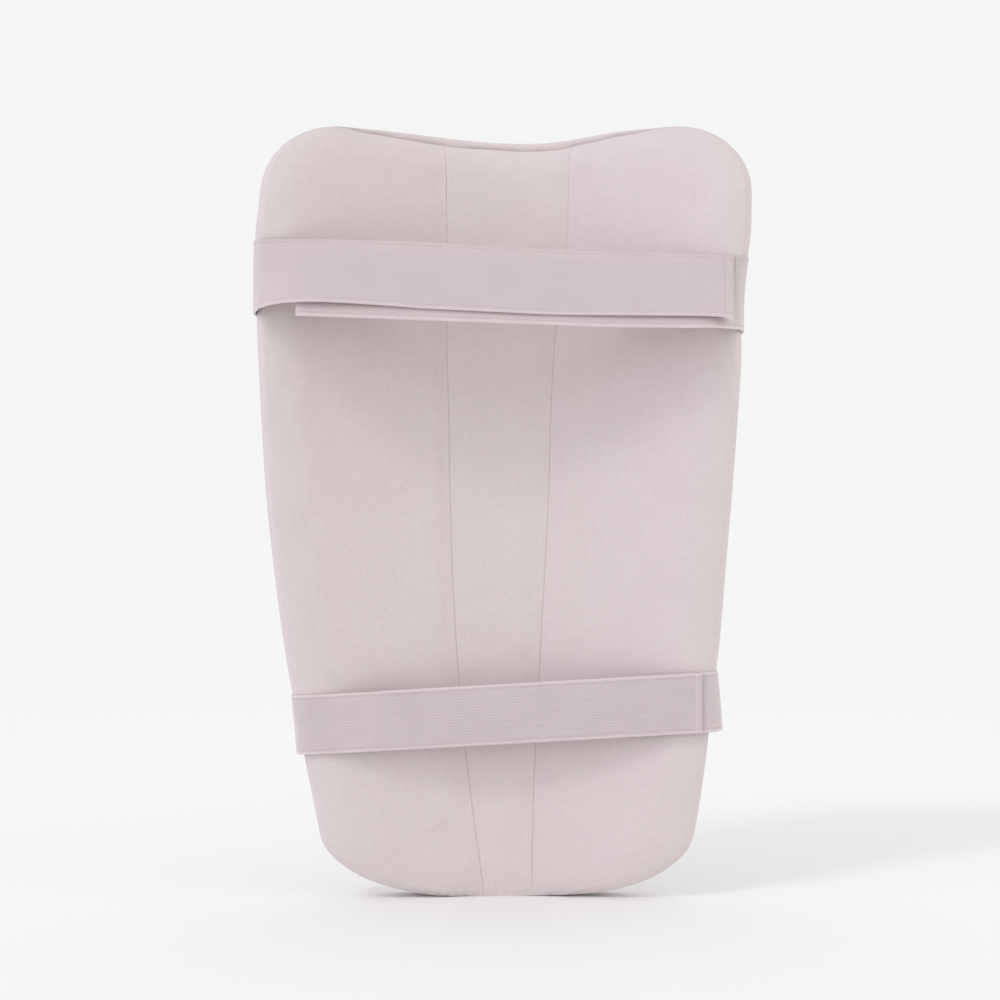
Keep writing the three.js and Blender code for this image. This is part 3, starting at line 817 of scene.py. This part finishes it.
def cover_stitches(name, material):
    """The row of stitches that follows the guard's edge on its outer face."""
    edge = padding_outline(COVER_STITCH_INSET, top_dip)
    closed = np.concatenate([edge, edge[:1]])
    lengths = np.concatenate([[0], np.cumsum(np.linalg.norm(np.diff(closed, axis=0), axis=1))])
    count = int(lengths[-1] / COVER_STITCH_PITCH)
    at = (np.arange(count) + 0.5) * lengths[-1] / count

    def place(run):
        x, z = (np.interp(run % lengths[-1], lengths, closed[:, i]) for i in (0, 1))
        return x, z

    def surface(x, z):
        return worn(off_trough(x, z, shell_offset(x, z) + THREAD_RADIUS / 2))

    x, z = place(at)
    before = surface(*place(at - COVER_STITCH_PROBE))
    after = surface(*place(at + COVER_STITCH_PROBE))
    across = surface(x + STITCH_PROBE, z) - surface(x - STITCH_PROBE, z)
    up = surface(x, z + STITCH_PROBE) - surface(x, z - STITCH_PROBE)
    outward = np.cross(up, across)
    return stitches(name, surface(x, z), after - before, outward, COVER_STITCH_LENGTH, material)


# Materials


class Finish:
    """A material built up from nodes, whose inputs are given by name or number, as values or sockets."""

    def __init__(self, name):
        self.material = bpy.data.materials.new(name)
        self.material.use_nodes = True
        self.tree = self.material.node_tree
        self.surface = self.tree.nodes["Principled BSDF"]

    def feed(self, node, inputs):
        for key, value in inputs.items():
            if isinstance(value, bpy.types.NodeSocket):
                self.tree.links.new(value, node.inputs[key])
            else:
                node.inputs[key].default_value = value

    def add(self, kind, inputs=None, **settings):
        node = self.tree.nodes.new("ShaderNode" + kind)
        for key, value in settings.items():
            setattr(node, key, value)
        self.feed(node, inputs or {})
        return node

    def math(self, operation, a, b=0.0):
        return self.add("Math", {0: a, 1: b}, operation=operation).outputs[0]

    def noise(self, vector, scale, detail=3.0, roughness=0.55):
        inputs = {"Vector": vector, "Scale": scale, "Detail": detail, "Roughness": roughness}
        return self.add("TexNoise", inputs).outputs[0]

    def weave(self):
        """The cloth's own coordinates in millimetres, as a vector and as its two numbers."""
        flat = self.add("UVMap", uv_map="weave").outputs[0]
        vector = self.add("VectorMath", {0: flat, 1: (1000, 1000, 1000)}, operation="MULTIPLY").outputs[0]
        parts = self.add("SeparateXYZ", {0: vector})
        return vector, parts.outputs[0], parts.outputs[1]

    def wave(self, value, step):
        """A wave from 0 to 1 that repeats at each step, in millimetres."""
        turn = self.math("SINE", self.math("MULTIPLY", value, 2 * math.pi / step))
        return self.add("Math", {0: turn, 1: 0.5, 2: 0.5}, operation="MULTIPLY_ADD").outputs[0]

    def blend(self, share, dark, light):
        """A colour between two, by a share."""
        mix = self.add("Mix", {"Factor": share}, data_type="RGBA")
        mix.inputs[6].default_value = (*dark, 1)
        mix.inputs[7].default_value = (*light, 1)
        return mix.outputs[2]

    def tint(self, colour, share, tone):
        """A colour multiplied towards a tone, by a share."""
        mix = self.add("Mix", {"Factor": share}, data_type="RGBA", blend_type="MULTIPLY")
        self.tree.links.new(colour, mix.inputs[6])
        mix.inputs[7].default_value = (*tone, 1)
        return mix.outputs[2]

    def span(self, value, low, high, to_low, to_high):
        inputs = {0: value, 1: low, 2: high, 3: to_low, 4: to_high}
        return self.add("MapRange", inputs).outputs[0]

    def bump(self, height, distance, strength=1.0, under=None):
        inputs = {"Height": height, "Distance": distance, "Strength": strength}
        if under is not None:
            inputs["Normal"] = under
        return self.add("Bump", inputs).outputs[0]


def knitted_cloth(name, dark, light):
    """Brushed knit stretched over foam: fine stitches, a soft nap and faint clouds of tone."""
    cloth = Finish(name)
    vector, across, up = cloth.weave()
    clouds = cloth.noise(vector, 0.035, 4.0)
    mottle = cloth.noise(vector, 0.28, 5.0, 0.65)
    nap = cloth.noise(vector, 1.9, 4.0, 0.7)
    knit = cloth.math("MULTIPLY", cloth.wave(across, 0.92), cloth.wave(up, 0.78))
    tone = cloth.math("ADD", cloth.math("MULTIPLY", clouds, 0.45), cloth.math("MULTIPLY", mottle, 0.55))
    colour = cloth.blend(cloth.span(tone, 0.32, 0.68, 0.0, 1.0), dark, light)
    colour = cloth.tint(colour, cloth.span(knit, 0.0, 1.0, 0.1, 0.0), (0.9, 0.88, 0.885))
    colour = cloth.tint(colour, cloth.span(nap, 0.35, 0.6, 0.35, 0.0), (0.93, 0.92, 0.925))
    relief = cloth.bump(mottle, 0.00012, 0.8)
    relief = cloth.bump(nap, 0.00008, 0.8, relief)
    relief = cloth.bump(knit, 0.00007, 0.7, relief)
    roughness = cloth.span(nap, 0.3, 0.7, 0.92, 1.0)
    cloth.feed(cloth.surface, {
        "Base Color": colour, "Roughness": roughness, "Normal": relief,
        "Sheen Weight": 0.1, "Sheen Roughness": 0.6, "Specular IOR Level": 0.08,
    })
    return cloth.material


def ribbed_elastic(name, dark, light, width, rib_share, top_edge_painted_shading):
    """Woven elastic: fine ribs along it, tighter threads across it and streaks of strain, with painted
    shade in the groove beside each selvedge, a painted highlight along its lower edge and painted shading
    along its top edge.
    """
    band = Finish(name)
    vector, along, down = band.weave()
    stretched = band.add("VectorMath", {0: vector, 1: (0.06, 1.0, 1.0)}, operation="MULTIPLY").outputs[0]
    streaks = band.noise(stretched, 0.9, 4.0, 0.6)
    clouds = band.noise(vector, 0.06, 3.0)
    nap = band.noise(vector, 2.2, 3.0, 0.65)
    ribs = band.wave(down, RIB_STEP / 2)
    threads = band.wave(along, 0.62)
    tone = band.math("ADD", band.math("MULTIPLY", streaks, 0.5), band.math("MULTIPLY", clouds, 0.5))
    colour = band.blend(band.span(tone, 0.3, 0.7, 0.0, 1.0), dark, light)
    colour = band.tint(colour, band.span(ribs, 0.0, 1.0, rib_share, 0.0), (0.9, 0.88, 0.89))
    colour = band.tint(colour, band.span(nap, 0.35, 0.6, 0.3, 0.0), (0.93, 0.92, 0.925))
    from_top = band.math("SUBTRACT", width, down)
    from_edge = band.math("MINIMUM", down, from_top)
    line = band.math("ABSOLUTE", band.math("SUBTRACT", from_edge, SELVEDGE))
    # Painted shade: the colour is darkened along the groove beside each selvedge.
    colour = band.tint(colour, band.span(line, 0.1, 0.5, 0.45, 0.0), (0.88, 0.85, 0.87))
    # Painted highlight: the colour is lightened along the lower edge, over its last 1.5 mm.
    colour = band.tint(colour, band.span(down, 0.9, 1.5, 1.0, 0.0), (1.06, 1.06, 1.08))
    # Painted shading along the top edge: darker as a painted contact shadow on the upper strap, lighter as
    # a painted highlight on the lower strap.
    colour = band.tint(colour, band.span(from_top, 0.7, 1.2, 1.0, 0.0), top_edge_painted_shading)
    relief = band.bump(band.math("MULTIPLY", ribs, band.span(threads, 0.0, 1.0, 0.7, 1.0)), 0.00008, 0.8)
    relief = band.bump(nap, 0.00005, 0.7, relief)
    band.feed(band.surface, {
        "Base Color": colour, "Roughness": band.span(nap, 0.3, 0.7, 0.82, 0.96), "Normal": relief,
        "Sheen Weight": 0.08, "Sheen Roughness": 0.6, "Specular IOR Level": 0.12,
        "Subsurface Weight": 0.6, "Subsurface Radius": (1.0, 0.9, 0.9), "Subsurface Scale": 0.003,
    })
    return band.material


def spun_thread(name, dark, light):
    thread = Finish(name)
    vector, _, _ = thread.weave()
    twist = thread.noise(vector, 3.0, 2.0)
    thread.feed(thread.surface, {
        "Base Color": thread.blend(twist, dark, light), "Roughness": 0.7,
        "Normal": thread.bump(twist, 0.00005),
    })
    return thread.material


def matt_paint_with_painted_light(name, far_tone, near_painted_light_tone):
    """Matt floor paint with painted light: a little lighter round the guard, to make up for the shade where
    less of the surroundings reaches it.
    """
    paint = Finish(name)
    place = paint.add("NewGeometry").outputs["Position"]
    away = paint.add("VectorMath", {0: place}, operation="LENGTH").outputs["Value"]
    # Painted light: the floor's colour is lighter within about a metre of the guard, offsetting the shade
    # the guard casts on it.
    colour = paint.blend(paint.span(away, 0.25, 1.1, 0.0, 1.0), [near_painted_light_tone] * 3, [far_tone] * 3)
    paint.feed(paint.surface, {"Base Color": colour, "Roughness": 1.0, "Specular IOR Level": 0.0})
    return paint.material


padding_cloth = knitted_cloth("padding_cloth", (0.671, 0.596, 0.589), (0.713, 0.638, 0.631))
elastics = {
    "upper": ribbed_elastic(
        "upper_elastic", (0.59, 0.52, 0.522), (0.628, 0.556, 0.56),
        UPPER_STRAP["width"], rib_share=0.1, top_edge_painted_shading=(0.88, 0.86, 0.87),
    # The upper strap's top edge is darkened: a painted contact shadow.
    ),
    "lower": ribbed_elastic(
        "lower_elastic", (0.613, 0.539, 0.549), (0.652, 0.576, 0.588),
        # The lower strap's top edge is lightened: a painted highlight.
        LOWER_STRAP["width"], rib_share=0.25, top_edge_painted_shading=(1.05, 1.05, 1.06),
    ),
}
thread = spun_thread("sewing_thread", (0.58, 0.52, 0.53), (0.66, 0.60, 0.61))
# The floor's nearer tone is painted light that offsets the guard's shade.
floor_paint_with_painted_light = matt_paint_with_painted_light("floor_paint_with_painted_light", 0.883, 0.905)

# The pieces


def own_to_row():
    """The shift from the part's own frame to the row frame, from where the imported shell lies."""
    rows = row_heights(GUARD_HEIGHT)
    x = shell_columns(rows)
    z = lowered(x, rows[:, None] + 0 * x, top_dip)
    outer = off_trough(x, z, shell_offset(x, z))
    low, high = (np.array(corner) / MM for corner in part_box("outer_shell"))
    sideways = (low[0] + high[0] - outer[..., 0].min() - outer[..., 0].max()) / 2
    return np.array([sideways, high[1] - outer[..., 1].max(), 0.0])


SHIFT = own_to_row()


def padded_faces(top, lower, columns, near_offset, far_offset):
    rows = row_heights(top)
    x = columns(rows)
    z = lowered(x, rows[:, None] + 0 * x, lower)
    return off_trough(x, z, near_offset(x, z)), off_trough(x, z, far_offset(x, z))


def rolled(x, z):
    """Offset of the outer cover's inner face, which rolls towards the leg above the leg side's top seam."""
    seam = GUARD_HEIGHT - PANEL_INSET - panel_lowering(x)
    top = GUARD_HEIGHT - top_dip(x)
    share = np.clip((z - seam) / np.maximum(top - seam, RIM_LEAST), 0, 1)
    height = np.minimum(RIM_ROLL, np.maximum(top - seam, 0) / 2)
    return GAP / 2 - height * np.sqrt(np.maximum(0, 1 - (2 * share - 1) ** 2))


# The cloth that is carried round the edge: its steps across the rim, as shares, and beyond it, in from the
# edge, then its thickness, how far in its lining lies and the tuck of its last step
RIM_SHARES = (0.35, 0.7)
WRAP_STEPS = (0.05, 0.2, 0.5, 0.9, 1.4, 2.0, 2.7)
WRAP_THICKNESS = 0.8
WRAP_INSIDE = 0.6
WRAP_TUCK = 1.0


def wrapped(sign, near, far):
    """A side panel's two faces with their cloth carried on round the padding's edge to the outer face."""
    rows = row_heights(GUARD_HEIGHT - PANEL_INSET)
    edge = section_at(rows)[1] + sign * outline_half(rows, PANEL_INSET)
    outer_rim = GAP / 2 + rim_thickness(rows, SHELL_FOOT, SHELL_EDGE)
    inner_rim = GAP / 2 + rim_thickness(rows, PANEL_FOOT, PANEL_EDGE)
    skins, linings = [], []
    steps = [*((0, share) for share in RIM_SHARES), *((step, 1) for step in WRAP_STEPS)]
    for step, share in steps:
        x = edge - sign * step
        z = lowered(x, rows, panel_lowering)
        inside = distance_to_outline(x, z, PANEL_OUTLINE)
        swell = (SHELL_THICKNESS - PANEL_INSET - outer_rim) * rounded_rise(inside, SHELL_ROUNDING)
        offset = lerp(-inner_rim, outer_rim, share) + swell
        tucked = WRAP_TUCK if step == WRAP_STEPS[-1] else 0.0
        lining_offset = np.maximum(offset - WRAP_THICKNESS, GAP / 2)
        skins.append(off_trough(x, z, offset - tucked))
        linings.append(off_trough(x - sign * WRAP_INSIDE, z, lining_offset))
    faces = []
    for face, carried in ((near, skins), (far, linings)):
        columns = np.stack(carried, axis=1)
        order = [columns[:, ::-1], face] if sign < 0 else [face, columns]
        faces.append(np.concatenate(order, axis=1))
    return faces


def build_padding():
    top = GUARD_HEIGHT - PANEL_INSET
    near, far = padded_faces(GUARD_HEIGHT, top_dip, shell_columns, rolled, shell_offset)
    shell = slab("shell_cover", worn(near), worn(far), padding_cloth)
    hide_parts("outer_shell")
    made = [shell]
    sides = (
        ("left", -1, lambda z: side_columns(-1, z, PANEL_INSET)),
        ("centre", 0, centre_columns),
        ("right", 1, lambda z: side_columns(1, z, PANEL_INSET)),
    )
    for side, sign, columns in sides:
        near, far = padded_faces(top, panel_lowering, columns, leg_offset, panel_back_offset)
        near = near + swelling(near, SWELL_CAP)
        if sign:
            near, far = wrapped(sign, near, far)
        panel = slab(f"panel_{side}", worn(near), worn(far), padding_cloth)
        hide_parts(f"inner_panel_{side}")
        made.append(panel)
    for piece in made:
        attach(piece, "root")
    edge = cover_stitches("cover_stitches", thread)
    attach(edge, "root")


def build_straps():
    for level, table in (("upper", UPPER_STRAP), ("lower", LOWER_STRAP)):
        for side, band in zip(("left", "right"), strap_geometry(table)):
            piece = strap_piece(f"{level}_band_{side}", band, elastics[level])
            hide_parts(f"{level}_strap_{side}")
            sewing = strap_stitches(f"{level}_stitches_{side}", band, thread)
            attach(sewing, "root")
            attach(piece, "root")


build_padding()
build_straps()

# Stage, camera and light

# The floor's size and the camera's place and reach are in metres, and its sensor is in millimetres
FLOOR_SIZE = 80
SURROUNDINGS = 0.913
CAMERA_DISTANCE = 1.025
CAMERA_HEIGHT = 0.199
CAMERA_REACH = 60
FIELD_OF_VIEW = math.radians(27.71)
SENSOR_WIDTH = 36

# Sun lamps: name, azimuth, elevation, strength, softness and colour
LAMPS = (
    ("key", -45, 45, 0.42, 12, (1, 1, 1)),
    ("left_fill", -66, 5, 0.52, 40, (0.83, 0.76, 1.2)),
    ("right_fill", 72, 5, 0.4, 40, (1.0, 0.96, 0.88)),
)


def build_stage():
    bpy.ops.mesh.primitive_plane_add(size=FLOOR_SIZE, location=(0, 0, 0))
    floor = bpy.context.active_object
    floor.name = "floor"
    floor.data.materials.append(floor_paint_with_painted_light)
    world = bpy.data.worlds.new("surroundings")
    bpy.context.scene.world = world
    world.use_nodes = True
    background = world.node_tree.nodes["Background"]
    background.inputs["Color"].default_value = (SURROUNDINGS, SURROUNDINGS, SURROUNDINGS, 1)


def add_sun(name, azimuth, elevation, strength, softness, colour):
    """A sun lamp that shines from an azimuth, 0 in front and 90 to the right, and an elevation."""
    lamp = bpy.data.lights.new(name, "SUN")
    lamp.energy = strength
    lamp.angle = math.radians(softness)
    lamp.color = colour
    source = bpy.data.objects.new(name, lamp)
    a, e = math.radians(azimuth), math.radians(elevation)
    towards = Vector((math.sin(a) * math.cos(e), -math.cos(a) * math.cos(e), math.sin(e)))
    source.rotation_euler = towards.to_track_quat("Z", "Y").to_euler()
    bpy.context.scene.collection.objects.link(source)


def build_camera():
    data = bpy.data.cameras.new("camera")
    data.sensor_width = SENSOR_WIDTH
    data.lens = SENSOR_WIDTH / 2 / math.tan(FIELD_OF_VIEW / 2)
    data.clip_end = CAMERA_REACH
    camera = bpy.data.objects.new("camera", data)
    camera.location = (SHIFT[0] * MM, SHIFT[1] * MM - CAMERA_DISTANCE, CAMERA_HEIGHT)
    camera.rotation_euler = (math.pi / 2, 0, 0)
    bpy.context.scene.collection.objects.link(camera)
    bpy.context.scene.camera = camera


bpy.context.scene.view_settings.view_transform = "Standard"
build_stage()
for lamp in LAMPS:
    add_sun(*lamp)
build_camera()
